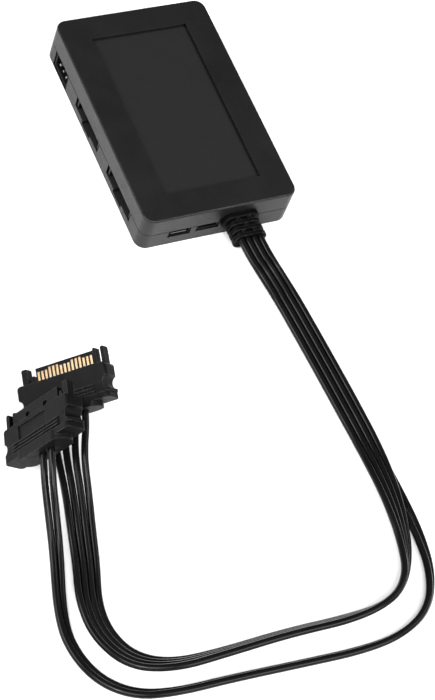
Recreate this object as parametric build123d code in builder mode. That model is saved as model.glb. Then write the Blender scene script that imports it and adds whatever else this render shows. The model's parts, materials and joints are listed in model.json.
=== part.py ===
import math
import os

from build123d import *

os.makedirs("parts", exist_ok=True)

# Case, in millimetres. The origin is the middle of the underside, +Y points away from the cable.
case_width = 52.2
case_length = 80.0
case_height = 14.2
parting_height = 7.1
corner_radius = 3.5
top_edge_radius = 0.7
bottom_edge_radius = 0.5
parting_groove_height = 0.25
parting_groove_depth = 0.5
side_wall = 1.8
roof_thickness = 2.2
floor_thickness = 1.5
recess_width = 33.0
recess_length = 62.0
recess_depth = 0.9

# Fasteners and their bosses
boss_radius = 2.2
boss_overlap = 0.4
screw_radius = 0.9
screw_head_radius = 1.7
screw_head_height = 1.2
screw_head_depth = 1.6
screw_length = 10.2
screw_clearance = 0.15
thread_clearance = 0.03
drive_slot_width = 0.5
drive_slot_depth = 0.5

# Circuit board, clamped on the parting plane between the bosses
board_thickness = 1.2
board_clearance = 0.4
board_relief = 0.5

# Parts that stand on the board, placed from its edges, from the sockets and from the leads
chip_x = 2.0
chip_y = 8.0
chip_side = 7.0
chip_height = 1.2
driver_gap = 2.2
driver_width = 5.0
driver_length = 4.0
driver_height = 1.5
regulator_from_edge = 9.9
regulator_gap = 7.0
regulator_width = 6.5
regulator_length = 3.5
regulator_height = 1.6
inductor_from_edge = 9.4
inductor_gap = 5.25
inductor_side = 6.0
inductor_headroom = 0.9
inductor_edge = 0.6
capacitor_x = 4.0
capacitor_gap = 3.4
capacitor_pitch = 5.0
capacitor_from_chip = 10.0
capacitor_width = 3.5
capacitor_length = 2.8
capacitor_height = 1.9
crystal_gap = 1.4
crystal_width = 3.2
crystal_length = 2.5
crystal_height = 0.8
package_edge = 0.2

# Openings, shared by the covers and by what sits in them
fit_clearance = 0.2
socket_inset = 0.4

# Three-pin header in the long side
header_from_end = 11.65
header_width = 10.7
header_height = 6.3
header_depth = 8.6
header_wall = 0.8
header_back = 1.6
header_key_width = 5.2
header_key_depth = 0.8
pin_size = 0.64
pin_pitch = 2.54
pin_height = 3.3
pin_tail = 1.0
header_pin_tip = 0.5

# Keyed fan sockets in the long side
fan_socket_1_y = 5.5
fan_socket_2_from_end = 18.5
fan_socket_width = 17.8
fan_socket_drop = 4.1
fan_socket_depth = 9.0
fan_socket_wall = 0.8
fan_socket_back = 1.5
fan_key_width = 6.3
fan_key_drop = 1.4
fan_opening_margin = 0.7
fan_tongue_width = 11.0
fan_tongue_thickness = 0.7
fan_tongue_drop = 1.1
fan_tongue_reach = 5.6
fan_contact_count = 7
fan_contact_pitch = 1.5
fan_contact_width = 0.6
fan_contact_thickness = 0.2

# Data socket and auxiliary socket in the short side
data_socket_x = -13.05
data_socket_width = 7.3
data_socket_height = 2.9
data_socket_depth = 6.4
shell_wall = 0.3
data_tongue_width = 5.4
data_tongue_thickness = 0.5
data_tongue_drop = 0.55
data_tongue_reach = 4.75
data_tongue_base = 1.2
aux_socket_x = -3.4
aux_socket_width = 7.5
aux_socket_height = 2.6
aux_socket_depth = 6.0
aux_socket_wall = 0.5
aux_socket_back = 1.4
aux_pin_count = 4
aux_pin_pitch = 1.5
aux_pin_size = 0.4
aux_pin_reach = 2.2

# Strain relief
gland_x = 7.1
gland_flange_width = 12.8
gland_flange_height = 6.8
gland_flange_thickness = 1.8
gland_neck_width = 11.2
gland_neck_height = 5.8
gland_inner_thickness = 1.4
gland_core_width = 8.9
gland_core_height = 4.4
gland_rib_width = 11.4
gland_rib_height = 6.4
gland_rib_count = 3
gland_rib_thickness = 1.15
gland_rib_gap = 1.12
gland_bridge_width = 1.2
gland_bridge_height = 5.8
gland_bridge_spread = 1.9
gland_mouth_depth = 0.5
gland_mouth_wall = 0.7

# Wires
wire_diameter = 2.1
wire_pitch = 2.2
wire_row_gap = 2.16
seat_gap = 0.02
lead_reach = 8.0
lead_lift = 0.12
lead_on_board = 1.2

# Drive-power plugs: local X along the contact row, local Y along the tongue, local Z through the plug
plug_width = 30.0
plug_length = 8.6
plug_thickness = 5.6
cover_length = 3.2
cover_overhang = 0.35
flange_width = 29.4
flange_corner = 1.2
hub_reach = 1.4
hub_width = 21.0
hub_height = 6.8
plug_corner = 1.6
plug_edge = 0.9
scallop_radius = 1.9
scallop_centre = 0.2
scallop_place = 2.7
tongue_width = 19.6
tongue_shift = 1.0
tongue_reach = 4.4
tongue_bottom = 1.7
tongue_thickness = 1.8
contact_count = 15
contact_pitch = 1.27
contact_width = 0.8
contact_thickness = 0.26
contact_inset = 0.13
contact_slack = 0.02
short_contact = 3.2
long_contact = 3.7
post_root = 1.0
key_width = 1.0
key_reach = 4.9
key_top = 4.0
key_tip_radius = 0.4
wide_post_left = -13.2
wide_post_width = 2.0
wide_post_reach = 4.9
wide_post_bottom = 1.8
wide_post_top = 4.2
wide_post_tip_radius = 0.5
thin_post_left = -10.5
thin_post_width = 0.9
thin_post_reach = 2.5
thin_post_bottom = 1.8
thin_post_top = 3.2
thin_post_tip_radius = 0.3
end_post_left = 13.0
end_post_width = 1.3
end_post_reach = 5.0
end_post_bottom = 1.2
end_post_top = 3.4
end_post_tip_radius = 0.6
grip_length = 21.4
grip_width = 0.45
grip_height = 0.45
grip_pitch = 0.95
grip_count = 3
grip_place = 0.5
grip_break = 0.5
panel_left = -4.8
panel_width = 12.6
panel_length = 4.2
panel_depth = 0.4
panel_margin = 1.2
window_spread = 4.0
window_width = 1.8
window_length = 1.9
window_start = 0.7
window_depth = 0.6
wire_socket_pitch = 3.81
wire_socket_clearance = 0.08

# Where each plug stands: middle of its lower rear edge, turn about +Z, rise of the tongue, roll about it
rear_plug_place = (-69.56, -95.11, 10.24)
rear_plug_turn = -8.67
rear_plug_rise = 14.2
rear_plug_roll = 46.2
front_plug_place = (-81.94, -106.86, 14.69)
front_plug_turn = -15.2
front_plug_rise = 4.1
front_plug_roll = 64.0

# Middle lines of the two ribbons after their first straight run: x, y, z and bank in degrees
rear_ribbon = (
    (7.9, -57.6, 7.5, 0),
    (9.9, -63.6, 5.5, 0),
    (11.7, -70.8, 3.9, 0),
    (12.7, -80.0, 3.3, 0),
    (13.6, -93.0, 3.25, 0),
    (14.5, -109.0, 3.25, 0),
    (15.1, -125.0, 3.45, -5),
    (14.0, -138.0, 5.0, -20),
    (12.6, -149.0, 5.05, -36),
    (10.6, -158.5, 4.1, -52),
    (6.4, -166.8, 4.3, -76),
    (-0.8, -172.0, 4.4, -99),
    (-14.0, -173.4, 4.1, -117),
    (-34.0, -172.1, 4.05, -117),
    (-54.0, -172.2, 4.05, -117),
    (-69.0, -171.6, 3.9, -126),
    (-79.4, -166.8, 3.1, -144),
    (-84.3, -157.2, 2.65, -153),
    (-84.4, -147.1, 2.9, -156),
    (-81.1, -136.5, 3.4, -163),
    (-79.15, -127.0, 5.0, -170),
    (-77.1, -116.8, 7.5, -180),
)
front_ribbon = (
    (10.1, -57.6, 5.1, 0),
    (12.1, -63.6, 3.1, 0),
    (13.9, -70.8, 1.6, 0),
    (14.9, -80.0, 1.12, 0),
    (15.8, -93.0, 1.08, 0),
    (16.7, -109.0, 1.08, 0),
    (17.5, -125.0, 1.1, 0),
    (18.3, -140.0, 1.2, -5),
    (18.3, -154.0, 1.6, -26),
    (16.2, -166.5, 2.0, -50),
    (10.2, -176.6, 2.2, -78),
    (-0.5, -181.6, 2.2, -103),
    (-14.0, -182.6, 2.1, -117),
    (-34.0, -181.0, 2.1, -117),
    (-54.0, -179.3, 2.1, -117),
    (-70.5, -178.4, 2.1, -120),
    (-82.0, -175.6, 1.9, -137),
    (-90.2, -168.2, 1.75, -146),
    (-93.8, -157.0, 1.75, -146),
    (-92.6, -146.6, 2.1, -150),
    (-88.2, -131.5, 4.2, -167),
    (-86.8, -122.6, 8.2, -185),
)

# Last free points of each wire before its plug, left to right
rear_wire_ends = (
    (-77.8, -103.7, 6.5),
    (-76.2, -105.3, 8.5),
    (-74.7, -107.0, 10.8),
    (-73.1, -108.7, 13.0),
)
front_wire_ends = (
    (-86.65, -113.5, 12.5),
    (-85.3, -115.2, 15.0),
)
exit_run = 4.0
lead_out = 2.0

# Worked out from the sizes above
half_width = case_width / 2
half_length = case_length / 2
inner_width = case_width - 2 * side_wall
inner_length = case_length - 2 * side_wall
inner_radius = corner_radius - side_wall
boss_x = half_width - side_wall - boss_radius + boss_overlap
boss_y = half_length - side_wall - boss_radius + boss_overlap
header_y = half_length - header_from_end
fan_socket_places = (fan_socket_1_y, fan_socket_2_from_end - half_length)
boss_places = [(x, y) for x in (-boss_x, boss_x) for y in (-boss_y, boss_y)]
board_top = parting_height + board_thickness
roof_height = case_height - roof_thickness
gland_pitch = gland_rib_thickness + gland_rib_gap
gland_wall_y = -half_length
gland_end_y = gland_wall_y - gland_flange_thickness - gland_rib_count * gland_pitch
mouth_floor_y = gland_end_y + gland_mouth_depth
fan_socket_bottom = parting_height - fan_socket_drop - fan_socket_wall


def finish(builder, label):
    builder.part.label = label
    export_step(builder.part, f"parts/{label}.step")


def stadium(plane, width, height, length):
    """A slot-shaped block that grows from the plane along its normal."""
    with BuildSketch(plane) as outline:
        SlotOverall(width, height)
    extrude(outline.sketch, amount=length)


def block(corner, size, mode=Mode.ADD):
    """A box by its lowest corner."""
    with Locations(corner):
        Box(*size, align=(Align.MIN, Align.MIN, Align.MIN), mode=mode)


def near_plane(x, y, z=parting_height):
    """A plane that looks out of the short side, with its X along the case's +X."""
    return Plane(origin=(x, y, z), x_dir=(1, 0, 0), z_dir=(0, -1, 0))


# Openings in the long and short sides
def cut_ports():
    opening_width = header_width + 2 * fit_clearance
    opening_height = header_height + fit_clearance
    block(
        (-half_width - 1, header_y - opening_width / 2, parting_height - opening_height),
        (1 + socket_inset + header_depth + fit_clearance, opening_width, opening_height),
        Mode.SUBTRACT,
    )
    for place in fan_socket_places:
        wide = fan_socket_width + 2 * fan_opening_margin
        block(
            (-half_width - 1, place - wide / 2, parting_height - fan_socket_drop),
            (side_wall + 2, wide, fan_socket_drop),
            Mode.SUBTRACT,
        )
        drop = fan_socket_drop + fan_key_drop
        block(
            (-half_width - 1, place - fan_key_width / 2, parting_height - drop),
            (side_wall + 2, fan_key_width, drop),
            Mode.SUBTRACT,
        )
    for x, width, height in (
        (data_socket_x, data_socket_width, data_socket_height),
        (aux_socket_x, aux_socket_width, aux_socket_height),
    ):
        opening = width + 2 * fit_clearance
        block(
            (x - opening / 2, -half_length - 1, parting_height - height - fit_clearance),
            (opening, side_wall + 2, height + fit_clearance),
            Mode.SUBTRACT,
        )


def cut_gland_opening():
    with BuildSketch(near_plane(gland_x, -half_length + side_wall + 0.5)) as opening:
        SlotOverall(gland_neck_width + 2 * thread_clearance, gland_neck_height + 2 * thread_clearance)
    extrude(opening.sketch, amount=side_wall + 1, mode=Mode.SUBTRACT)


# Top cover
with BuildPart() as top_cover:
    with BuildSketch(Plane.XY.offset(parting_height)):
        RectangleRounded(case_width, case_length, corner_radius)
    extrude(amount=case_height - parting_height)
    fillet(top_cover.faces().sort_by(Axis.Z)[-1].edges(), top_edge_radius)
    with BuildSketch(Plane.XY.offset(parting_height)):
        RectangleRounded(inner_width, inner_length, inner_radius)
    extrude(amount=roof_height - parting_height, mode=Mode.SUBTRACT)
    with BuildSketch(Plane.XY.offset(case_height)):
        Rectangle(recess_width, recess_length)
    extrude(amount=-recess_depth, mode=Mode.SUBTRACT)
    with BuildSketch(Plane.XY.offset(board_top)):
        with Locations(*boss_places):
            Circle(boss_radius)
    extrude(amount=roof_height - board_top)
    with BuildSketch(Plane.XY.offset(board_top)):
        with Locations(*boss_places):
            Circle(screw_radius + thread_clearance)
    extrude(amount=screw_head_depth + screw_length - board_top + thread_clearance, mode=Mode.SUBTRACT)
    cut_gland_opening()
finish(top_cover, "top_cover")

# Bottom cover
with BuildPart() as bottom_cover:
    with BuildSketch():
        RectangleRounded(case_width, case_length, corner_radius)
    extrude(amount=parting_height)
    fillet(bottom_cover.faces().sort_by(Axis.Z)[0].edges(), bottom_edge_radius)
    with BuildSketch(Plane.XY.offset(parting_height - parting_groove_height)):
        RectangleRounded(case_width, case_length, corner_radius)
        RectangleRounded(
            case_width - 2 * parting_groove_depth,
            case_length - 2 * parting_groove_depth,
            corner_radius - parting_groove_depth,
            mode=Mode.SUBTRACT,
        )
    extrude(amount=parting_groove_height, mode=Mode.SUBTRACT)
    with BuildSketch(Plane.XY.offset(floor_thickness)):
        RectangleRounded(inner_width, inner_length, inner_radius)
    extrude(amount=parting_height - floor_thickness, mode=Mode.SUBTRACT)
    with BuildSketch(Plane.XY.offset(floor_thickness)):
        with Locations(*boss_places):
            Circle(boss_radius)
    extrude(amount=parting_height - floor_thickness)
    with BuildSketch():
        with Locations(*boss_places):
            Circle(screw_radius + screw_clearance)
    extrude(amount=parting_height, mode=Mode.SUBTRACT)
    with BuildSketch():
        with Locations(*boss_places):
            Circle(screw_head_radius + screw_clearance)
    extrude(amount=screw_head_depth, mode=Mode.SUBTRACT)
    cut_ports()
    cut_gland_opening()
finish(bottom_cover, "bottom_cover")

# Case screws, driven up from the underside
with BuildPart() as case_screws:
    with BuildSketch(Plane.XY.offset(screw_head_depth)):
        with Locations(*boss_places):
            Circle(screw_radius)
    extrude(amount=screw_length)
    with BuildSketch(Plane.XY.offset(screw_head_depth - screw_head_height)):
        with Locations(*boss_places):
            Circle(screw_head_radius)
    extrude(amount=screw_head_height)
    with BuildSketch(Plane.XY.offset(screw_head_depth - screw_head_height)):
        with Locations(*boss_places):
            Rectangle(screw_head_radius * 1.3, drive_slot_width)
            Rectangle(drive_slot_width, screw_head_radius * 1.3)
    extrude(amount=drive_slot_depth, mode=Mode.SUBTRACT)
finish(case_screws, "case_screws")

# Circuit board with reliefs for the strain relief and through holes for the screws
board_width = inner_width - 2 * board_clearance
board_length = inner_length - 2 * board_clearance
lead_start_y = gland_wall_y + side_wall + gland_inner_thickness + seat_gap
lead_end_y = lead_start_y + lead_reach
notch_end_y = lead_end_y - lead_on_board
header_tail_x = -half_width + socket_inset + header_depth + pin_size
header_pin_ys = [header_y + pin_pitch * (i - 1) for i in range(3)]
with BuildPart() as circuit_board:
    with BuildSketch(Plane.XY.offset(parting_height)):
        RectangleRounded(board_width, board_length, inner_radius)
        with Locations((gland_x, -board_length / 2)):
            Rectangle(
                gland_flange_width + 2 * board_relief,
                2 * (notch_end_y + board_length / 2),
                mode=Mode.SUBTRACT,
            )
        with Locations(*boss_places):
            Circle(screw_radius + screw_clearance, mode=Mode.SUBTRACT)
        with Locations(*[(header_tail_x, y) for y in header_pin_ys]):
            Rectangle(
                pin_size + 2 * thread_clearance,
                pin_size + 2 * thread_clearance,
                mode=Mode.SUBTRACT,
            )
    extrude(amount=board_thickness)
finish(circuit_board, "circuit_board")


def board_parts(label, places, size, edge):
    """Low rectangular bodies that stand on the board's upper face."""
    with BuildPart() as pieces:
        for x, y in places:
            with BuildSketch(Plane.XY.offset(board_top)):
                with Locations((x, y)):
                    Rectangle(size[0], size[1])
            extrude(amount=size[2])
        chamfer(pieces.faces().filter_by(Axis.Z).group_by(Axis.Z)[-1].edges(), edge)
    finish(pieces, label)


header_left = -half_width + socket_inset
board_right = board_width / 2
driver_x = header_left + fan_socket_depth + driver_gap + driver_width / 2
regulator_y = lead_end_y + regulator_gap + regulator_length / 2
inductor_y = regulator_y + (regulator_length + inductor_side) / 2 + inductor_gap
inductor_height = roof_height - board_top - inductor_headroom
capacitor_y = lead_end_y + capacitor_gap + capacitor_length / 2
board_parts("controller_chip", [(chip_x, chip_y)], (chip_side, chip_side, chip_height), package_edge)
board_parts(
    "fan_driver_chips",
    [(driver_x, y) for y in fan_socket_places],
    (driver_width, driver_length, driver_height),
    package_edge,
)
board_parts(
    "voltage_regulator",
    [(board_right - regulator_from_edge, regulator_y)],
    (regulator_width, regulator_length, regulator_height),
    package_edge,
)
board_parts(
    "power_inductor",
    [(board_right - inductor_from_edge, inductor_y)],
    (inductor_side, inductor_side, inductor_height),
    inductor_edge,
)
board_parts(
    "capacitors",
    [
        (capacitor_x, capacitor_y),
        (capacitor_x, capacitor_y + capacitor_pitch),
        (chip_x, chip_y + capacitor_from_chip),
    ],
    (capacitor_width, capacitor_length, capacitor_height),
    package_edge,
)
board_parts(
    "timing_crystal",
    [(chip_x + (chip_side + crystal_width) / 2 + crystal_gap, chip_y)],
    (crystal_width, crystal_length, crystal_height),
    package_edge,
)

# Three-pin header: a shroud open to the side, with bent square pins
with BuildPart() as pin_header_housing:
    block(
        (header_left, header_y - header_width / 2, parting_height - header_height),
        (header_depth, header_width, header_height),
    )
    mouth_width = header_width - 2 * header_wall
    block(
        (header_left, header_y - mouth_width / 2, parting_height - header_height + header_wall),
        (header_depth - header_back, mouth_width, header_height - 2 * header_wall),
        Mode.SUBTRACT,
    )
    block(
        (header_left, header_y - header_key_width / 2, parting_height - header_wall),
        (header_depth - header_back, header_key_width, header_key_depth),
        Mode.SUBTRACT,
    )
    hole = pin_size + 2 * thread_clearance
    for y in header_pin_ys:
        block(
            (header_left, y - hole / 2, pin_height - hole / 2),
            (header_depth, hole, hole),
            Mode.SUBTRACT,
        )
finish(pin_header_housing, "pin_header_housing")

with BuildPart() as pin_header_pins:
    tail_right = header_tail_x + pin_size / 2
    for y in header_pin_ys:
        with BuildSketch(Plane.XZ.offset(-y - pin_size / 2)):
            with BuildLine():
                Polyline(
                    (header_left + header_pin_tip, pin_height - pin_size / 2),
                    (tail_right, pin_height - pin_size / 2),
                    (tail_right, board_top + pin_tail),
                    (tail_right - pin_size, board_top + pin_tail),
                    (tail_right - pin_size, pin_height + pin_size / 2),
                    (header_left + header_pin_tip, pin_height + pin_size / 2),
                    close=True,
                )
            make_face()
        extrude(amount=pin_size)
finish(pin_header_pins, "pin_header_pins")

# Keyed fan sockets: a shroud with a key slot below and a contact tongue near its top
fan_mouth_width = fan_socket_width - 2 * fan_socket_wall
fan_tongue_top = parting_height - fan_socket_wall - fan_tongue_drop
fan_tongue_bottom = fan_tongue_top - fan_tongue_thickness
fan_back_x = header_left + fan_socket_depth - fan_socket_back
fan_tongue_tip = fan_back_x - fan_tongue_reach
for number, place in enumerate(fan_socket_places, start=1):
    with BuildPart() as fan_socket:
        block(
            (header_left + side_wall, place - fan_socket_width / 2, fan_socket_bottom),
            (fan_socket_depth - side_wall, fan_socket_width, parting_height - fan_socket_bottom),
        )
        block(
            (header_left, place - fan_socket_width / 2, parting_height - fan_socket_drop + fit_clearance),
            (side_wall, fan_socket_width, fan_socket_drop - fit_clearance),
        )
        block(
            (header_left, place - fan_mouth_width / 2, parting_height - fan_socket_drop),
            (fan_socket_depth - fan_socket_back, fan_mouth_width, fan_socket_drop - fan_socket_wall),
            Mode.SUBTRACT,
        )
        block(
            (header_left, place - fan_key_width / 2, fan_socket_bottom),
            (fan_socket_depth - fan_socket_back, fan_key_width, fan_socket_drop - fan_socket_wall),
            Mode.SUBTRACT,
        )
        block(
            (fan_tongue_tip, place - fan_tongue_width / 2, fan_tongue_bottom),
            (fan_tongue_reach, fan_tongue_width, fan_tongue_thickness),
        )
    finish(fan_socket, f"fan_socket_{number}")

    with BuildPart() as fan_contacts:
        for i in range(fan_contact_count):
            y = place + fan_contact_pitch * (i - (fan_contact_count - 1) / 2)
            block(
                (
                    fan_tongue_tip + fan_contact_width,
                    y - fan_contact_width / 2,
                    fan_tongue_bottom - fan_contact_thickness,
                ),
                (fan_tongue_reach - fan_contact_width, fan_contact_width, fan_contact_thickness),
            )
    finish(fan_contacts, f"fan_socket_{number}_contacts")

# Data socket: a thin metal shell round a contact tongue
data_front = -half_length + socket_inset
data_middle = parting_height - data_socket_height / 2
with BuildPart() as data_socket_shell:
    with BuildSketch(near_plane(data_socket_x, data_front + data_socket_depth, data_middle)):
        RectangleRounded(data_socket_width, data_socket_height, shell_wall * 1.5)
    extrude(amount=data_socket_depth)
    offset(
        amount=-shell_wall,
        openings=[data_socket_shell.faces().sort_by(Axis.Y)[0]],
    )
finish(data_socket_shell, "data_socket_shell")

with BuildPart() as data_socket_tongue:
    base_back = data_front + data_socket_depth - shell_wall
    block(
        (
            data_socket_x - data_socket_width / 2 + shell_wall * 1.5,
            base_back - data_tongue_base,
            data_middle - data_socket_height / 2 + shell_wall * 1.5,
        ),
        (data_socket_width - 3 * shell_wall, data_tongue_base, data_socket_height - 3 * shell_wall),
    )
    block(
        (
            data_socket_x - data_tongue_width / 2,
            base_back - data_tongue_base - data_tongue_reach,
            data_middle - data_tongue_drop - data_tongue_thickness / 2,
        ),
        (data_tongue_width, data_tongue_reach, data_tongue_thickness),
    )
finish(data_socket_tongue, "data_socket_tongue")

# Auxiliary socket: a plain shroud with a row of short pins
aux_bottom = parting_height - aux_socket_height
aux_middle = parting_height - aux_socket_height / 2
aux_pin_xs = [aux_socket_x + aux_pin_pitch * (i - (aux_pin_count - 1) / 2) for i in range(aux_pin_count)]
with BuildPart() as aux_socket:
    block(
        (aux_socket_x - aux_socket_width / 2, data_front, aux_bottom),
        (aux_socket_width, aux_socket_depth, aux_socket_height),
    )
    block(
        (aux_socket_x - aux_socket_width / 2 + aux_socket_wall, data_front, aux_bottom + aux_socket_wall),
        (
            aux_socket_width - 2 * aux_socket_wall,
            aux_socket_depth - aux_socket_back,
            aux_socket_height - 2 * aux_socket_wall,
        ),
        Mode.SUBTRACT,
    )
    hole = aux_pin_size + 2 * thread_clearance
    for x in aux_pin_xs:
        block(
            (x - hole / 2, data_front, aux_middle - hole / 2),
            (hole, aux_socket_depth, hole),
            Mode.SUBTRACT,
        )
finish(aux_socket, "aux_socket")

with BuildPart() as aux_socket_pins:
    for x in aux_pin_xs:
        block(
            (
                x - aux_pin_size / 2,
                data_front + aux_socket_depth - aux_socket_back - aux_pin_reach,
                aux_middle - aux_pin_size / 2,
            ),
            (aux_pin_size, aux_pin_reach + aux_socket_back, aux_pin_size),
        )
finish(aux_socket_pins, "aux_socket_pins")

# Strain relief: inner flange, neck in the wall, outer flange, then ribs with bridges between them
with BuildPart() as strain_relief:
    inner_face_y = gland_wall_y + side_wall
    stadium(
        near_plane(gland_x, inner_face_y + gland_inner_thickness),
        gland_flange_width,
        gland_flange_height,
        gland_inner_thickness,
    )
    stadium(near_plane(gland_x, inner_face_y), gland_neck_width, gland_neck_height, side_wall)
    stadium(
        near_plane(gland_x, gland_wall_y),
        gland_flange_width,
        gland_flange_height,
        gland_flange_thickness,
    )
    fillet(strain_relief.faces().sort_by(Axis.Y)[0].edges(), gland_flange_thickness / 3)
    body_y = gland_wall_y - gland_flange_thickness
    stadium(near_plane(gland_x, body_y), gland_core_width, gland_core_height, body_y - gland_end_y)
    for i in range(gland_rib_count):
        groove_y = body_y - i * gland_pitch
        bridge_xs = (0,) if i % 2 else (-gland_bridge_spread, gland_bridge_spread)
        with BuildSketch(near_plane(gland_x, groove_y)):
            with Locations(*[(x, 0) for x in bridge_xs]):
                Rectangle(gland_bridge_width, gland_bridge_height)
        extrude(amount=gland_rib_gap)
        rib_y = groove_y - gland_rib_gap
        stadium(near_plane(gland_x, rib_y), gland_rib_width, gland_rib_height, gland_rib_thickness)
    with BuildSketch(near_plane(gland_x, mouth_floor_y)):
        SlotOverall(gland_rib_width - 2 * gland_mouth_wall, gland_rib_height - 2 * gland_mouth_wall)
    extrude(amount=gland_mouth_depth, mode=Mode.SUBTRACT)
finish(strain_relief, "strain_relief")

# Rows of wires in the strain relief
rear_row_z = parting_height + wire_row_gap / 2
front_row_z = parting_height - wire_row_gap / 2
rear_row_xs = [gland_x + wire_pitch * (k - 1.5) for k in range(4)]
front_row_xs = [gland_x + wire_pitch * (k + 0.5) for k in range(2)]


def plug_plane(place, turn, rise, roll):
    """Local frame of a plug: turned about +Z, its tongue raised, then rolled about the tongue."""
    turn_angle = math.radians(turn)
    rise_angle = math.radians(rise)
    roll_angle = math.radians(roll)
    level = Vector(math.cos(turn_angle), math.sin(turn_angle), 0)
    ahead = Vector(-math.sin(turn_angle), math.cos(turn_angle), 0)
    tongue = ahead * math.cos(rise_angle) + Vector(0, 0, math.sin(rise_angle))
    row = level * math.cos(roll_angle) + level.cross(tongue) * math.sin(roll_angle)
    return Plane(origin=place, x_dir=row, z_dir=row.cross(tongue))


def turned_over(plane):
    """The same place with the contacts on the other side."""
    top = plane.from_local_coords((0, 0, plug_thickness))
    return Plane(origin=top, x_dir=plane.x_dir * -1, z_dir=plane.z_dir * -1)


rear_plane = plug_plane(rear_plug_place, rear_plug_turn, rear_plug_rise, rear_plug_roll)
front_plane = plug_plane(front_plug_place, front_plug_turn, front_plug_rise, front_plug_roll)
front_plane = turned_over(front_plane)
plug_front = cover_length + plug_length
contact_xs = [tongue_shift + contact_pitch * (i - (contact_count - 1) / 2) for i in range(contact_count)]
tongue_top = tongue_bottom + tongue_thickness
contact_bottom = tongue_top - contact_inset


def contact_tip(index):
    """Contacts stand in groups of three, and every second group reaches further."""
    long_group = (index // 3) % 2 == 1
    return plug_front + (long_contact if long_group else short_contact)


def plug_block(plane, left, width, start, end, bottom, top, mode=Mode.ADD):
    """A box in a plug's own directions."""
    with BuildSketch(plane.offset(bottom)) as outline:
        with Locations((left + width / 2, (start + end) / 2)):
            Rectangle(width, end - start)
    extrude(outline.sketch, amount=top - bottom, mode=mode)


def plug_post(plane, left, width, reach, bottom, top, tip_radius):
    """A guide post with a rounded tip."""
    with BuildSketch(plane.offset(bottom)) as outline:
        with Locations((left + width / 2, plug_front + (reach - post_root) / 2)):
            Rectangle(width, reach + post_root)
        fillet(outline.vertices().group_by(Axis.Y)[-1], tip_radius)
    extrude(outline.sketch, amount=top - bottom)


def plug_posts(plane):
    """The key at one end of the tongue, and the guide posts beyond both ends of it."""
    key_left = tongue_shift + tongue_width / 2
    for left, width, reach, bottom, top, tip_radius in (
        (key_left, key_width, key_reach, tongue_bottom, key_top, key_tip_radius),
        (
            wide_post_left,
            wide_post_width,
            wide_post_reach,
            wide_post_bottom,
            wide_post_top,
            wide_post_tip_radius,
        ),
        (
            thin_post_left,
            thin_post_width,
            thin_post_reach,
            thin_post_bottom,
            thin_post_top,
            thin_post_tip_radius,
        ),
        (end_post_left, end_post_width, end_post_reach, end_post_bottom, end_post_top, end_post_tip_radius),
    ):
        plug_post(plane, left, width, reach, bottom, top, tip_radius)


def plug_grips(plane):
    """Ridges across both faces, broken in line with the sides of the panel."""
    ends = (-grip_length / 2, panel_left, panel_left + panel_width, grip_length / 2)
    for i in range(grip_count):
        start = cover_length + grip_place + i * grip_pitch
        for left, right in zip(ends, ends[1:]):
            width = right - left - grip_break
            for bottom, top in ((-grip_height, 0), (plug_thickness, plug_thickness + grip_height)):
                plug_block(plane, left + grip_break / 2, width, start, start + grip_width, bottom, top)


def rear_face(plane):
    """The plane of a plug's rear end, looking along its tongue."""
    middle = plane.from_local_coords((0, 0, plug_thickness / 2))
    return Plane(origin=middle, x_dir=plane.x_dir, z_dir=plane.y_dir)


def make_plug_housing(plane):
    with BuildPart() as housing:
        with BuildSketch(plane) as outline:
            with Locations((0, cover_length + plug_length / 2)):
                Rectangle(plug_width, plug_length)
            fillet(outline.vertices().group_by(Axis.Y)[-1], plug_corner)
            for side in (-1, 1):
                with Locations((side * (plug_width / 2 + scallop_centre), cover_length + scallop_place)):
                    Circle(scallop_radius, mode=Mode.SUBTRACT)
        extrude(amount=plug_thickness)
        with BuildSketch(rear_face(plane).offset(cover_length)):
            RectangleRounded(plug_width, plug_thickness, plug_edge)
        extrude(amount=plug_length, mode=Mode.INTERSECT)
        left = tongue_shift - tongue_width / 2
        root = plug_front - post_root
        tip = plug_front + tongue_reach
        plug_block(plane, left, tongue_width, root, tip, tongue_bottom, tongue_top)
        plug_posts(plane)
        plug_grips(plane)
        panel_end = plug_front - panel_margin
        plug_block(
            plane,
            panel_left,
            panel_width,
            panel_end - panel_length,
            panel_end,
            0,
            panel_depth,
            Mode.SUBTRACT,
        )
        for side in (-1, 1):
            place = tongue_shift + side * window_spread
            plug_block(
                plane,
                place - window_width / 2,
                window_width,
                plug_front + window_start,
                plug_front + window_start + window_length,
                tongue_bottom,
                tongue_bottom + window_depth,
                Mode.SUBTRACT,
            )
        for i, x in enumerate(contact_xs):
            plug_block(
                plane,
                x - contact_width / 2 - contact_slack,
                contact_width + 2 * contact_slack,
                cover_length,
                contact_tip(i) + contact_slack,
                contact_bottom - contact_slack,
                contact_bottom + contact_thickness + contact_slack,
                Mode.SUBTRACT,
            )
    return housing


def make_plug_contacts(plane):
    with BuildPart() as contacts:
        for i, x in enumerate(contact_xs):
            plug_block(
                plane,
                x - contact_width / 2,
                contact_width,
                cover_length,
                contact_tip(i),
                contact_bottom,
                contact_bottom + contact_thickness,
            )
    return contacts


def make_wire_cover(plane, socket_xs):
    """A flange against the housing, with a rounded hub behind it that takes the wires."""
    rear = rear_face(plane)
    with BuildPart() as cover:
        with BuildSketch(rear.offset(hub_reach)):
            RectangleRounded(flange_width, plug_thickness + 2 * cover_overhang, flange_corner)
        extrude(amount=cover_length - hub_reach)
        stadium(rear, hub_width, hub_height, cover_length)
        with BuildSketch(rear):
            with Locations(*[(x, 0) for x in socket_xs]):
                Circle(wire_diameter / 2 + wire_socket_clearance)
        extrude(amount=cover_length, mode=Mode.SUBTRACT)
    return cover


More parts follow.
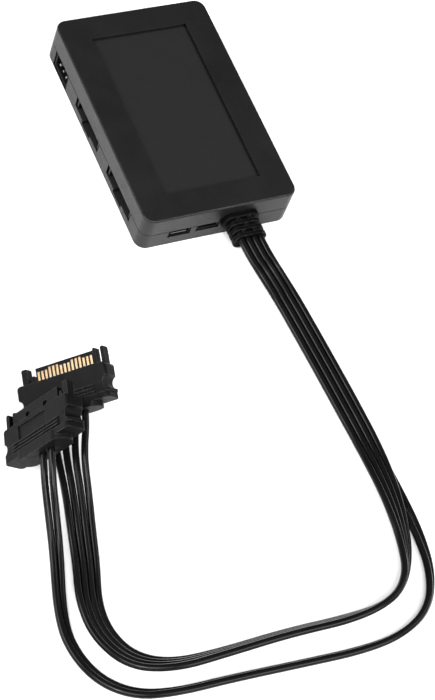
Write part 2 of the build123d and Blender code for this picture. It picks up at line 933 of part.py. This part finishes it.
rear_socket_xs = [tongue_shift + wire_socket_pitch * k for k in (-2, -1, 0, 1)]
front_socket_xs = [tongue_shift + wire_socket_pitch * k for k in (0, -1)]
for name, plane, sockets in (
    ("rear_plug", rear_plane, rear_socket_xs),
    ("front_plug", front_plane, front_socket_xs),
):
    finish(make_plug_housing(plane), f"{name}_housing")
    finish(make_plug_contacts(plane), f"{name}_contacts")
    finish(make_wire_cover(plane, sockets), f"{name}_wire_cover")


def ribbon_points(middle_line, offset_across):
    """Points of one wire of a ribbon, shifted across the ribbon and banked with it."""
    points = []
    ahead = (0.0, -1.0)
    for i, (x, y, z, bank) in enumerate(middle_line):
        behind = ahead
        if 0 < i < len(middle_line) - 1:
            run_x = middle_line[i + 1][0] - x
            run_y = middle_line[i + 1][1] - y
            run = math.hypot(run_x, run_y)
            ahead = (run_x / run, run_y / run)
        half_turn = math.sqrt((1 + ahead[0] * behind[0] + ahead[1] * behind[1]) / 2)
        along = (ahead[0] + behind[0]) / (2 * half_turn), (ahead[1] + behind[1]) / (2 * half_turn)
        across = offset_across * math.cos(math.radians(bank)) / half_turn
        rise = offset_across * math.sin(math.radians(bank))
        points.append(Vector(x - along[1] * across, y + along[0] * across, z + rise))
    return points


def corner_radii(points):
    """Each corner's arc takes 0.45 of its shorter run."""
    radii = []
    for before, corner, after in zip(points, points[1:], points[2:]):
        turn = math.radians((corner - before).get_angle(after - corner))
        shorter = min((corner - before).length, (after - corner).length)
        radii.append(0.45 * shorter / math.tan(turn / 2))
    return radii


def make_tube(label, points, diameter):
    radii = corner_radii(points)
    with BuildPart() as tube:
        with BuildLine() as path:
            FilletPolyline(*points, radius=radii)
        with BuildSketch(Plane(origin=points[0], z_dir=points[1] - points[0])):
            Circle(diameter / 2)
        sweep(path=path.wires()[0])
    section = math.pi * diameter**2 / 4
    length = path.wires()[0].length
    share = tube.part.volume / (section * length)
    print(label, "length", round(length, 1), "volume share", round(share, 4))
    print("  radii", " ".join(str(round(r, 1)) for r in radii))
    finish(tube, label)


def wire_route(middle_x, row_z, ribbon, offset_across, free_end, plane, socket_x):
    """Out of the strain relief, along the ribbon, and through the wire cover to the plug."""
    start_y = mouth_floor_y - seat_gap
    start = (middle_x, start_y, row_z, 0)
    straight = (middle_x, start_y - exit_run, row_z, 0)
    lead = plane.from_local_coords((socket_x, -lead_out, plug_thickness / 2))
    seat = plane.from_local_coords((socket_x, cover_length - seat_gap, plug_thickness / 2))
    return ribbon_points((start, straight) + ribbon, offset_across) + [Vector(*free_end), lead, seat]


for k in range(4):
    across = wire_pitch * (k - 1.5)
    route = wire_route(
        gland_x, rear_row_z, rear_ribbon, across, rear_wire_ends[k], rear_plane, rear_socket_xs[k]
    )
    make_tube(f"rear_wire_{k + 1}", route, wire_diameter)
for k in range(2):
    across = wire_pitch * (k - 0.5)
    middle_x = gland_x + wire_pitch
    route = wire_route(
        middle_x, front_row_z, front_ribbon, across, front_wire_ends[k], front_plane, front_socket_xs[k]
    )
    make_tube(f"front_wire_{k + 1}", route, wire_diameter)

# Inner leads: the upper row climbs onto the board, the lower row runs under it
with BuildPart() as inner_leads:
    upper_end = board_top + wire_diameter / 2 + lead_lift
    rows = [(x, rear_row_z, upper_end) for x in rear_row_xs]
    rows += [(x, front_row_z, front_row_z) for x in front_row_xs]
    for x, start_z, end_z in rows:
        with BuildLine() as path:
            Spline((x, lead_start_y, start_z), (x, lead_end_y, end_z), tangents=((0, 1, 0), (0, 1, 0)))
        with BuildSketch(Plane(origin=(x, lead_start_y, start_z), z_dir=(0, 1, 0))):
            Circle(wire_diameter / 2)
        sweep(path=path.wires()[0])
finish(inner_leads, "inner_leads")
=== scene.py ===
import json
import math

import bpy
from mathutils import Matrix, Vector


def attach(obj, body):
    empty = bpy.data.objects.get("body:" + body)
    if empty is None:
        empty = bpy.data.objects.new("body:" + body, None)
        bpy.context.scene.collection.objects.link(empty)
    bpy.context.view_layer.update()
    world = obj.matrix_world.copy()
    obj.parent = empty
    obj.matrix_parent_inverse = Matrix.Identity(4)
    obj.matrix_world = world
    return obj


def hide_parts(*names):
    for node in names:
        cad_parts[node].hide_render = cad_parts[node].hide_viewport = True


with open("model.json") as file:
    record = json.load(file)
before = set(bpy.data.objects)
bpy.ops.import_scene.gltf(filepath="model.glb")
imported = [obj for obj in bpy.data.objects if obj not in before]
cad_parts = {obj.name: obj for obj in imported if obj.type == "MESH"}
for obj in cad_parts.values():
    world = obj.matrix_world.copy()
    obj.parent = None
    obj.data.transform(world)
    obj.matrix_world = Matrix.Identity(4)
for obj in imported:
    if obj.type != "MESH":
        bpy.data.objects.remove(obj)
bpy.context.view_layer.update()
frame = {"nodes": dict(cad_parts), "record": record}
nodes = frame["nodes"]
scene = bpy.context.scene
mm = 0.001
white = (1.0, 1.0, 1.0, 1.0)

# camera at the photograph's viewing angle, with the eye in millimetres
cameraView = {
    "eye": (-268.891, -340.560, 514.231),
    "right": (0.8911967, -0.38108255, 0.24605797),
    "up": (0.20909036, 0.82647645, 0.52270249),
    "forward": (0.40255392, 0.41438239, -0.81623378),
    "lens": 107.845,
    "sensor": 36.0,
    "clip": (0.01, 20.0),
}


def addCamera(view):
    data = bpy.data.cameras.new("camera")
    data.lens = view["lens"]
    data.sensor_width = view["sensor"]
    data.clip_start, data.clip_end = view["clip"]
    camera = bpy.data.objects.new("camera", data)
    scene.collection.objects.link(camera)
    axes = (Vector(view["right"]), Vector(view["up"]), -Vector(view["forward"]))
    turn = Matrix(axes).transposed().to_4x4()
    camera.matrix_world = Matrix.Translation(Vector(view["eye"]) * mm) @ turn
    scene.camera = camera


addCamera(cameraView)
print("camera placed")

# studio in metres: a dim room, with soft boxes on the camera's side so that the lid stays dark
studio = {
    "roomStrength": 0.17,
    "floorSize": 12.0,
    "floorColour": (0.90, 0.90, 0.90, 1.0),
    "floorRough": 0.9,
    "floorShine": 0.1,
    "glowFrom": 0.9,  # the paper starts to glow this far out
    "glowTo": 2.4,  # and glows in full from here
    "boxes": (
        # name, place, width and height, watts, aimed at
        ("softCamera", (-0.75, -1.00, 1.55), (1.3, 1.3), 46.0, (-0.03, -0.08, 0.0)),
        ("softLeft", (-1.35, 0.15, 1.00), (0.9, 0.9), 24.0, (-0.03, -0.06, 0.0)),
        ("softFront", (0.55, -1.35, 1.05), (0.9, 0.9), 22.0, (-0.03, -0.06, 0.0)),
        ("softRight", (1.25, -0.45, 1.15), (0.9, 0.9), 9.0, (0.0, -0.08, 0.0)),
        ("stripLeft", (-0.85, 0.20, 0.30), (0.4, 0.4), 1.1, (-0.06, -0.08, 0.01)),
        ("stripWires", (-0.55, -0.75, 1.10), (0.05, 0.7), 5.0, (0.0, -0.12, 0.0)),
    ),
}


def addRoom(look):
    scene.world = bpy.data.worlds.new("room")
    scene.world.use_nodes = True
    walls = scene.world.node_tree.nodes["Background"]
    walls.inputs["Color"].default_value = white
    walls.inputs["Strength"].default_value = look["roomStrength"]


def makeFloorPaper(look):
    paper = bpy.data.materials.new("floorPaper")
    paper.use_nodes = True
    tree = paper.node_tree
    shader = tree.nodes["Principled BSDF"]
    shader.inputs["Base Color"].default_value = look["floorColour"]
    shader.inputs["Roughness"].default_value = look["floorRough"]
    shader.inputs["Specular IOR Level"].default_value = look["floorShine"]
    shader.inputs["Emission Color"].default_value = white
    # far paper glows, so that low views keep a pale ground out of the lamps' reach
    place = tree.nodes.new("ShaderNodeTexCoord")
    away = tree.nodes.new("ShaderNodeVectorMath")
    away.operation = "LENGTH"
    glow = tree.nodes.new("ShaderNodeMapRange")
    glow.inputs["From Min"].default_value = look["glowFrom"]
    glow.inputs["From Max"].default_value = look["glowTo"]
    tree.links.new(place.outputs["Object"], away.inputs[0])
    tree.links.new(away.outputs["Value"], glow.inputs["Value"])
    tree.links.new(glow.outputs["Result"], shader.inputs["Emission Strength"])
    return paper


def addFloor(look):
    half = look["floorSize"] / 2
    corners = [(-half, -half, 0), (half, -half, 0), (half, half, 0), (-half, half, 0)]
    mesh = bpy.data.meshes.new("floor")
    mesh.from_pydata(corners, [], [(0, 1, 2, 3)])
    mesh.materials.append(makeFloorPaper(look))
    floor = bpy.data.objects.new("floor", mesh)
    scene.collection.objects.link(floor)


def addBox(name, place, size, watts, aim):
    light = bpy.data.lights.new(name, "AREA")
    light.shape = "RECTANGLE"
    light.size, light.size_y = size
    light.energy = watts
    box = bpy.data.objects.new(name, light)
    scene.collection.objects.link(box)
    box.location = place
    box.rotation_euler = (Vector(aim) - Vector(place)).to_track_quat("-Z", "Y").to_euler()


addRoom(studio)
addFloor(studio)
for boxValues in studio["boxes"]:
    addBox(*boxValues)
scene.view_settings.view_transform = "Standard"
scene.view_settings.look = "None"
print("studio lit")


def grey(value):
    return (value, value, value, 1.0)


# what use leaves on every plastic, and painted light on it: rubbed edges that are also a painted
# highlight, painted shade darkening grooves and recesses, and fine scratches, in metres
wearAndPaintedLight = {
    "edgeWidth": 0.00035,
    "rimWidth": 0.00022,
    "edgeSamples": 6,
    "edgeBend": (0.86, 0.995),  # how far the rounded normal leans on an edge and off it
    # the groove entries set the painted shade: how far the ambient occlusion looks, how it maps to
    # shade, and the near-black painted shade colour
    "grooveReach": 0.0007,
    "grooveShade": (0.25, 0.85),
    "grooveSamples": 8,
    "paintedShadeColour": grey(0.0008),
    "patchScale": 900.0,
    "patchSpan": (0.1, 1.0, 0.35, 0.65),
    "scratchScale": 1.0,
    "scratchStretch": (2600.0, 60.0, 300.0),
    "scratchSpan": (1.0, 0.86, 0.66, 0.74),
}
sunkFaces = {
    "fade": 0.0001,
    "level": (0.96, 0.99),
}
cloudy = {"detail": 4.0, "rough": 0.6}
mottled = {"detail": 5.0, "rough": 0.65}
fine = {"detail": 2.0, "rough": 0.5}


class Finish:
    def __init__(self, name):
        self.mat = bpy.data.materials.new(name)
        self.mat.use_nodes = True
        self.tree = self.mat.node_tree
        self.shader = self.tree.nodes["Principled BSDF"]
        self.coord = self.add("ShaderNodeTexCoord").outputs["Object"]

    def add(self, kind, **settings):
        node = self.tree.nodes.new(kind)
        for key, value in settings.items():
            setattr(node, key, value)
        return node

    def link(self, output, socket):
        self.tree.links.new(output, socket)

    def feed(self, socketName, output):
        self.link(output, self.shader.inputs[socketName])

    def fix(self, socketName, value):  # the same all over the surface
        self.shader.inputs[socketName].default_value = value

    def noise(self, scale, detail, rough, stretch=None):
        node = self.add("ShaderNodeTexNoise")
        node.inputs["Scale"].default_value = scale
        node.inputs["Detail"].default_value = detail
        node.inputs["Roughness"].default_value = rough
        source = self.coord
        if stretch:
            mapping = self.add("ShaderNodeMapping")
            mapping.inputs["Scale"].default_value = stretch
            self.link(self.coord, mapping.inputs["Vector"])
            source = mapping.outputs["Vector"]
        self.link(source, node.inputs["Vector"])
        return node.outputs["Fac"]

    def span(self, source, low=0.0, high=1.0, start=0.3, end=0.7):  # start..end becomes low..high
        node = self.add("ShaderNodeMapRange")
        node.inputs["From Min"].default_value = start
        node.inputs["From Max"].default_value = end
        node.inputs["To Min"].default_value = low
        node.inputs["To Max"].default_value = high
        self.link(source, node.inputs["Value"])
        return node.outputs["Result"]

    def times(self, first, second):
        node = self.add("ShaderNodeMath", operation="MULTIPLY")
        self.link(first, node.inputs[0])
        self.link(second, node.inputs[1])
        return node.outputs["Value"]

    def blend(self, factor, first, second):
        node = self.add("ShaderNodeMix", data_type="RGBA")
        sockets = {socket.identifier: socket for socket in node.inputs}
        self.link(factor, sockets["Factor_Float"])
        for place, value in (("A_Color", first), ("B_Color", second)):
            if isinstance(value, tuple):
                sockets[place].default_value = value
            else:
                self.link(value, sockets[place])
        return [socket for socket in node.outputs if socket.identifier == "Result_Color"][0]

    def bump(self, height, strength, distance):
        node = self.add("ShaderNodeBump")
        node.inputs["Strength"].default_value = strength
        node.inputs["Distance"].default_value = distance
        self.link(height, node.inputs["Height"])
        self.feed("Normal", node.outputs["Normal"])

    def edges(self, radius):  # 1 along an edge, 0 away from it
        rounded = self.add("ShaderNodeBevel", samples=wearAndPaintedLight["edgeSamples"])
        rounded.inputs["Radius"].default_value = radius
        flat = self.add("ShaderNodeNewGeometry").outputs["Normal"]
        lean = self.add("ShaderNodeVectorMath", operation="DOT_PRODUCT")
        self.link(rounded.outputs["Normal"], lean.inputs[0])
        self.link(flat, lean.inputs[1])
        return self.span(lean.outputs["Value"], 1.0, 0.0, *wearAndPaintedLight["edgeBend"])

    # ambient occlusion, used as the mask for the painted shade in grooves, recesses and gaps between
    # parts
    def crevices(self, reach, shade):  # 0 deep in a groove, 1 in the open
        node = self.add("ShaderNodeAmbientOcclusion", samples=wearAndPaintedLight["grooveSamples"])
        node.inputs["Distance"].default_value = reach
        return self.span(node.outputs["AO"], 0.0, 1.0, *shade)

    def facing(self, axis, start, end):  # 1 on faces that look along an axis, 0 elsewhere
        parts = self.add("ShaderNodeSeparateXYZ")
        self.link(self.add("ShaderNodeNewGeometry").outputs["Normal"], parts.inputs["Vector"])
        return self.span(parts.outputs[axis], 0.0, 1.0, start, end)

    def sunkFace(self, height):  # 1 on level faces below a height, 0 elsewhere
        place = self.add("ShaderNodeSeparateXYZ")
        self.link(self.coord, place.inputs["Vector"])
        low = self.span(place.outputs["Z"], 1.0, 0.0, height - sunkFaces["fade"], height)
        return self.times(low, self.facing("Z", *sunkFaces["level"]))


# plastics, rubber and board: linear colours, the edge colour is partly what handling leaves and partly
# a painted highlight, depths in metres
plastics = {
    "case_plastic": {
        "dark": grey(0.006), "light": grey(0.009), "wornAndHighlight": grey(0.018), "cloud": 60.0,
        "rough": (0.30, 0.40), "shine": 0.22,
        "grain": 2400.0, "grainDepth": 0.0002, "grainStrength": 0.7,
        "reach": 0.0011, "shade": (0.45, 0.92),
        "sunk": grey(0.0114), "sunkBelow": 0.0141,  # floor of the recess in the lid
    },
    "socket_plastic": {
        "dark": grey(0.0025), "light": grey(0.004), "wornAndHighlight": grey(0.012), "cloud": 160.0,
        "rough": (0.40, 0.52), "shine": 0.18,
        "grain": 4200.0, "grainDepth": 0.00001,
        "reach": 0.004, "shade": (0.45, 0.95),
    },
    # the tongue is kept near black as painted shade on its top, and its outer end, the faces that look
    # along -Y, is painted light as a painted highlight
    "grey_plastic": {
        "dark": grey(0.003), "light": grey(0.005), "wornAndHighlight": grey(0.05), "cloud": 260.0,
        "rough": (0.4, 0.5), "shine": 0.2,
        "grain": 3500.0, "grainDepth": 0.00001,
        "tip": grey(0.09), "tipFacing": (-0.7, -0.95),  # outer end of the tongue
    },
    "plug_plastic": {
        "dark": grey(0.0019), "light": grey(0.0034), "wornAndHighlight": grey(0.044), "cloud": 140.0,
        "rough": (0.40, 0.52), "shine": 0.065,
        "grain": 3200.0, "grainDepth": 0.00006,
        "reach": 0.004,
    },
    "gland_rubber": {
        "dark": grey(0.0013), "light": grey(0.0024), "wornAndHighlight": grey(0.042), "cloud": 200.0,
        "rough": (0.42, 0.54), "shine": 0.06,
        "grain": 3000.0, "grainDepth": 0.000015,
        "reach": 0.002,
    },
    "wire_insulation": {
        "dark": grey(0.0028), "light": grey(0.0045), "wornAndHighlight": grey(0.007), "cloud": 90.0,
        "rough": (0.14, 0.22), "shine": 0.13,
        "grain": 2600.0, "grainDepth": 0.000004,
    },
    "board_laminate": {
        "dark": (0.008, 0.05, 0.02, 1), "light": (0.014, 0.075, 0.03, 1), "wornAndHighlight": (0.05, 0.09, 0.05, 1),
        "cloud": 220.0, "rough": (0.3, 0.42), "shine": 0.5,
        "grain": 1800.0, "grainDepth": 0.00002,
    },
    "chip_resin": {
        "dark": grey(0.010), "light": grey(0.016), "wornAndHighlight": grey(0.03), "cloud": 300.0,
        "rough": (0.5, 0.62), "shine": 0.4,
        "grain": 4000.0, "grainDepth": 0.00001,
    },
    "inductor_ferrite": {
        "dark": grey(0.05), "light": grey(0.08), "wornAndHighlight": grey(0.12), "cloud": 400.0,
        "rough": (0.5, 0.66), "shine": 0.5,
        "grain": 2400.0, "grainDepth": 0.00002,
    },
    "capacitor_body": {
        "dark": (0.28, 0.18, 0.09, 1), "light": (0.36, 0.24, 0.13, 1), "wornAndHighlight": (0.42, 0.3, 0.18, 1),
        "cloud": 400.0, "rough": (0.4, 0.5), "shine": 0.5,
        "grain": 2600.0, "grainDepth": 0.00001,
    },
}
plasticIor = 1.5
plasticGrainStrength = 0.25  # where a plastic names none
glossPerCloud = 2.3  # gloss varies on a finer scale than colour


def makePlastic(name, look):
    finish = Finish(name)
    clouds = finish.span(finish.noise(look["cloud"], **cloudy))
    base = finish.blend(clouds, look["dark"], look["light"])
    if "sunk" in look:
        base = finish.blend(finish.sunkFace(look["sunkBelow"]), base, look["sunk"])
    # painted highlight: faces that look along -Y, the tongue's outer end, take a much lighter colour
    if "tip" in look:
        base = finish.blend(finish.facing("Y", *look["tipFacing"]), base, look["tip"])
    # edges are painted lighter, partly as handling wear and partly as a painted highlight along the
    # rims
    patches = finish.span(finish.noise(wearAndPaintedLight["patchScale"], **cloudy), *wearAndPaintedLight["patchSpan"])
    rubbedAndLitEdges = finish.times(finish.edges(wearAndPaintedLight["edgeWidth"]), patches)
    wornAndHighlight = finish.blend(rubbedAndLitEdges, base, look["wornAndHighlight"])
    # painted shade: grooves, recesses and gaps between parts are painted near black where ambient
    # occlusion finds them
    reach, shade = look.get("reach", wearAndPaintedLight["grooveReach"]), look.get("shade", wearAndPaintedLight["grooveShade"])
    finish.feed("Base Color", finish.blend(finish.crevices(reach, shade), wearAndPaintedLight["paintedShadeColour"], wornAndHighlight))
    gloss = finish.span(finish.noise(look["cloud"] * glossPerCloud, **mottled), *look["rough"])
    streaks = finish.noise(wearAndPaintedLight["scratchScale"], **fine, stretch=wearAndPaintedLight["scratchStretch"])
    scratches = finish.span(streaks, *wearAndPaintedLight["scratchSpan"])
    finish.feed("Roughness", finish.times(gloss, scratches))
    strength = look.get("grainStrength", plasticGrainStrength)
    finish.bump(finish.noise(look["grain"], **fine), strength, look["grainDepth"])
    finish.fix("Specular IOR Level", look["shine"])
    finish.fix("IOR", plasticIor)
    return finish.mat


# platings and steel: rim is the darker colour round a contact's edges
metals = {
    "gold_plating": {
        "dark": (0.25, 0.175, 0.10, 1), "light": (0.38, 0.28, 0.17, 1), "rough": (0.26, 0.40),
        "rim": (0.05, 0.032, 0.018, 1),
    },
    "tin_plating": {"dark": grey(0.62), "light": grey(0.80), "rough": (0.26, 0.40)},
    "black_plating": {"dark": grey(0.02), "light": grey(0.035), "rough": (0.36, 0.5)},
    "screw_steel": {"dark": grey(0.06), "light": grey(0.11), "rough": (0.28, 0.42)},
    "crystal_can": {"dark": grey(0.45), "light": grey(0.6), "rough": (0.22, 0.36)},
}
metalGrain = {
    "cloud": 700.0,
    "gloss": 1500.0,
    "grain": 3000.0,
    "strength": 0.15,
    "depth": 0.000008,
}


def makeMetal(name, look):
    finish = Finish(name)
    clouds = finish.span(finish.noise(metalGrain["cloud"], **cloudy))
    base = finish.blend(clouds, look["dark"], look["light"])
    if "rim" in look:
        base = finish.blend(finish.edges(wearAndPaintedLight["rimWidth"]), base, look["rim"])
    finish.feed("Base Color", base)
    finish.feed("Roughness", finish.span(finish.noise(metalGrain["gloss"], **cloudy), *look["rough"]))
    finish.bump(finish.noise(metalGrain["grain"], **fine), metalGrain["strength"], metalGrain["depth"])
    finish.fix("Metallic", 1.0)
    return finish.mat


materials = {name: makePlastic(name, look) for name, look in plastics.items()}
materials.update({name: makeMetal(name, look) for name, look in metals.items()})
print("finishes made", len(materials))

# each CAD node takes its slot's finish
for part in frame["record"]["subparts"]:
    slots = nodes[part["node"]].data.materials
    slots.clear()
    slots.append(materials[part["material_slot"]])
print("nodes dressed", len(nodes))

# fine rounding of the moulded edges, in millimetres
edgeRounding = {
    "weld": 0.002,
    "segments": 2,
    "sharpFrom": 40.0,  # degrees between two faces
    "widths": {
        "top_cover": 0.12,
        "bottom_cover": 0.12,
        "pin_header_housing": 0.10,
        "fan_socket_1": 0.10,
        "fan_socket_2": 0.10,
        "data_socket_tongue": 0.08,
        "aux_socket": 0.08,
        "strain_relief": 0.16,
        "rear_plug_housing": 0.10,
        "front_plug_housing": 0.10,
        "rear_plug_wire_cover": 0.14,
        "front_plug_wire_cover": 0.14,
        "rear_plug_contacts": 0.04,
        "front_plug_contacts": 0.04,
        "pin_header_pins": 0.06,
    },
}


def roundEdges(node, width, rounding):
    weld = node.modifiers.new("weld", "WELD")
    weld.merge_threshold = rounding["weld"] * mm
    bevel = node.modifiers.new("edges", "BEVEL")
    bevel.width = width * mm
    bevel.segments = rounding["segments"]
    bevel.limit_method = "ANGLE"
    bevel.angle_limit = math.radians(rounding["sharpFrom"])
    bevel.use_clamp_overlap = True
    bevel.harden_normals = False
    normals = node.modifiers.new("normals", "WEIGHTED_NORMAL")
    normals.keep_sharp = False


for nodeName, edgeWidth in edgeRounding["widths"].items():
    roundEdges(nodes[nodeName], edgeWidth, edgeRounding)
print("edges rounded", len(edgeRounding["widths"]))

# wires in millimetres, from the strain relief to the plugs
wires = {
    "diameter": 2.1,
    "pitch": 2.2,
    "rowGap": 2.16,
    "glandX": 7.1,
    "parting": 7.1,
    "startY": -48.13,
    "exitRun": 4.0,
    "leadOut": 2.0,
    "seatDepth": 3.18,
    "plugThickness": 5.6,
    "socketPitch": 3.81,
    "roundness": 6,
    "smoothness": 10,
}
# a ribbon of four to the rear plug and one of two to the front plug
# route points are x, y, z and the ribbon's bank in degrees, and ends has one more point for each wire
ribbons = {
    "rear": {
        "pitchesAcross": 0,
        "rowsUp": 0.5,
        "route": (
            (7.9, -57.6, 7.5, 0), (9.9, -63.6, 5.5, 0), (11.7, -70.8, 3.9, 0), (12.7, -80.0, 3.3, 0),
            (13.6, -93.0, 3.25, 0), (14.5, -109.0, 3.25, 0), (15.1, -125.0, 3.45, -5),
            (14.0, -138.0, 5.0, -20), (12.6, -149.0, 5.05, -36), (10.6, -158.5, 4.1, -52),
            (6.4, -166.8, 4.3, -76), (-0.8, -172.0, 4.4, -99), (-14.0, -173.4, 4.1, -117),
            (-34.0, -172.1, 4.05, -117), (-54.0, -172.2, 4.05, -117), (-69.0, -171.6, 3.9, -126),
            (-79.4, -166.8, 3.1, -144), (-84.3, -157.2, 2.65, -153), (-84.4, -147.1, 2.9, -156),
            (-81.1, -136.5, 3.4, -163), (-79.15, -127.0, 5.0, -170), (-77.1, -116.8, 7.5, -180),
        ),
        "ends": (
            (-77.8, -103.7, 6.5), (-76.2, -105.3, 8.5), (-74.7, -107.0, 10.8), (-73.1, -108.7, 13.0),
        ),
        "plug": {"place": (-69.56, -95.11, 10.24), "turn": -8.67, "rise": 14.2, "roll": 46.2},
        "sockets": (-2, -1, 0, 1),
        "socketShift": 1.0,
        "lengths": (291.4, 288.4, 286.3, 284.9),
    },
    "front": {
        "pitchesAcross": 1,
        "rowsUp": -0.5,
        "route": (
            (10.1, -57.6, 5.1, 0), (12.1, -63.6, 3.1, 0), (13.9, -70.8, 1.6, 0), (14.9, -80.0, 1.12, 0),
            (15.8, -93.0, 1.08, 0), (16.7, -109.0, 1.08, 0), (17.5, -125.0, 1.1, 0),
            (18.3, -140.0, 1.2, -5), (18.3, -154.0, 1.6, -26), (16.2, -166.5, 2.0, -50),
            (10.2, -176.6, 2.2, -78), (-0.5, -181.6, 2.2, -103), (-14.0, -182.6, 2.1, -117),
            (-34.0, -181.0, 2.1, -117), (-54.0, -179.3, 2.1, -117), (-70.5, -178.4, 2.1, -120),
            (-82.0, -175.6, 1.9, -137), (-90.2, -168.2, 1.75, -146), (-93.8, -157.0, 1.75, -146),
            (-92.6, -146.6, 2.1, -150), (-88.2, -131.5, 4.2, -167), (-86.8, -122.6, 8.2, -185),
        ),
        "ends": ((-86.65, -113.5, 12.5), (-85.3, -115.2, 15.0)),
        "plug": {"place": (-81.94, -106.86, 14.69), "turn": -15.2, "rise": 4.1, "roll": 64.0},
        "sockets": (0, 1),
        "socketShift": -1.0,
        "lengths": (305.2, 304.9),
    },
}


def plugPoint(plug, x, y, z):
    turn, rise, roll = (math.radians(plug[key]) for key in ("turn", "rise", "roll"))
    level = Vector((math.cos(turn), math.sin(turn), 0))
    ahead = Vector((-math.sin(turn), math.cos(turn), 0))
    tongue = ahead * math.cos(rise) + Vector((0, 0, math.sin(rise)))
    row = level * math.cos(roll) + level.cross(tongue) * math.sin(roll)
    return Vector(plug["place"]) + row * x + tongue * y + row.cross(tongue) * z


# one wire's points, beside the ribbon's middle line and tilted by its bank
def ribbonPoints(middleLine, offsetAcross):
    points = []
    ahead = Vector((0.0, -1.0))
    for index, (x, y, z, bank) in enumerate(middleLine):
        behind = ahead
        if 0 < index < len(middleLine) - 1:
            nextX, nextY = middleLine[index + 1][:2]
            ahead = Vector((nextX - x, nextY - y)).normalized()
        halfTurn = math.sqrt((1 + ahead.dot(behind)) / 2)
        along = (ahead + behind).normalized()
        across = offsetAcross * math.cos(math.radians(bank)) / halfTurn
        rise = offsetAcross * math.sin(math.radians(bank))
        points.append(Vector((x - along.y * across, y + along.x * across, z + rise)))
    return points


def wireRoute(ribbon, index):
    middleX = wires["glandX"] + ribbon["pitchesAcross"] * wires["pitch"]
    rowZ = wires["parting"] + ribbon["rowsUp"] * wires["rowGap"]
    straight = tuple((middleX, wires["startY"] - run, rowZ, 0) for run in (0, wires["exitRun"]))
    fromMiddle = wires["pitch"] * (index - (len(ribbon["lengths"]) - 1) / 2)
    points = ribbonPoints(straight + ribbon["route"], fromMiddle)
    points.append(Vector(ribbon["ends"][index]))
    socketX = ribbon["socketShift"] + wires["socketPitch"] * ribbon["sockets"][index]
    for depth in (-wires["leadOut"], wires["seatDepth"]):
        points.append(plugPoint(ribbon["plug"], socketX, depth, wires["plugThickness"] / 2))
    return points


def addWire(group, index):
    ribbon = ribbons[group]
    route = [point * mm for point in wireRoute(ribbon, index)]
    name = f"{group}_lead_{index + 1}"
    curve = bpy.data.curves.new(name, "CURVE")
    curve.dimensions = "3D"
    curve.bevel_depth = wires["diameter"] / 2 * mm
    curve.bevel_resolution = wires["roundness"]
    curve.resolution_u = wires["smoothness"]
    curve.use_fill_caps = True
    spline = curve.splines.new("NURBS")
    spline.points.add(len(route) - 1)
    for point, place in zip(spline.points, route):
        point.co = (*place, 1.0)
    spline.order_u = 3  # after the points, or the runs stay straight
    spline.use_endpoint_u = True
    spline.use_smooth = True
    wire = bpy.data.objects.new(name, curve)
    scene.collection.objects.link(wire)
    curve.materials.append(materials["wire_insulation"])
    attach(wire, "root")
    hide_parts(f"{group}_wire_{index + 1}")


for groupName, groupRibbon in ribbons.items():
    for wireIndex in range(len(groupRibbon["lengths"])):
        addWire(groupName, wireIndex)
    print(groupName, "wires laid", len(groupRibbon["lengths"]))
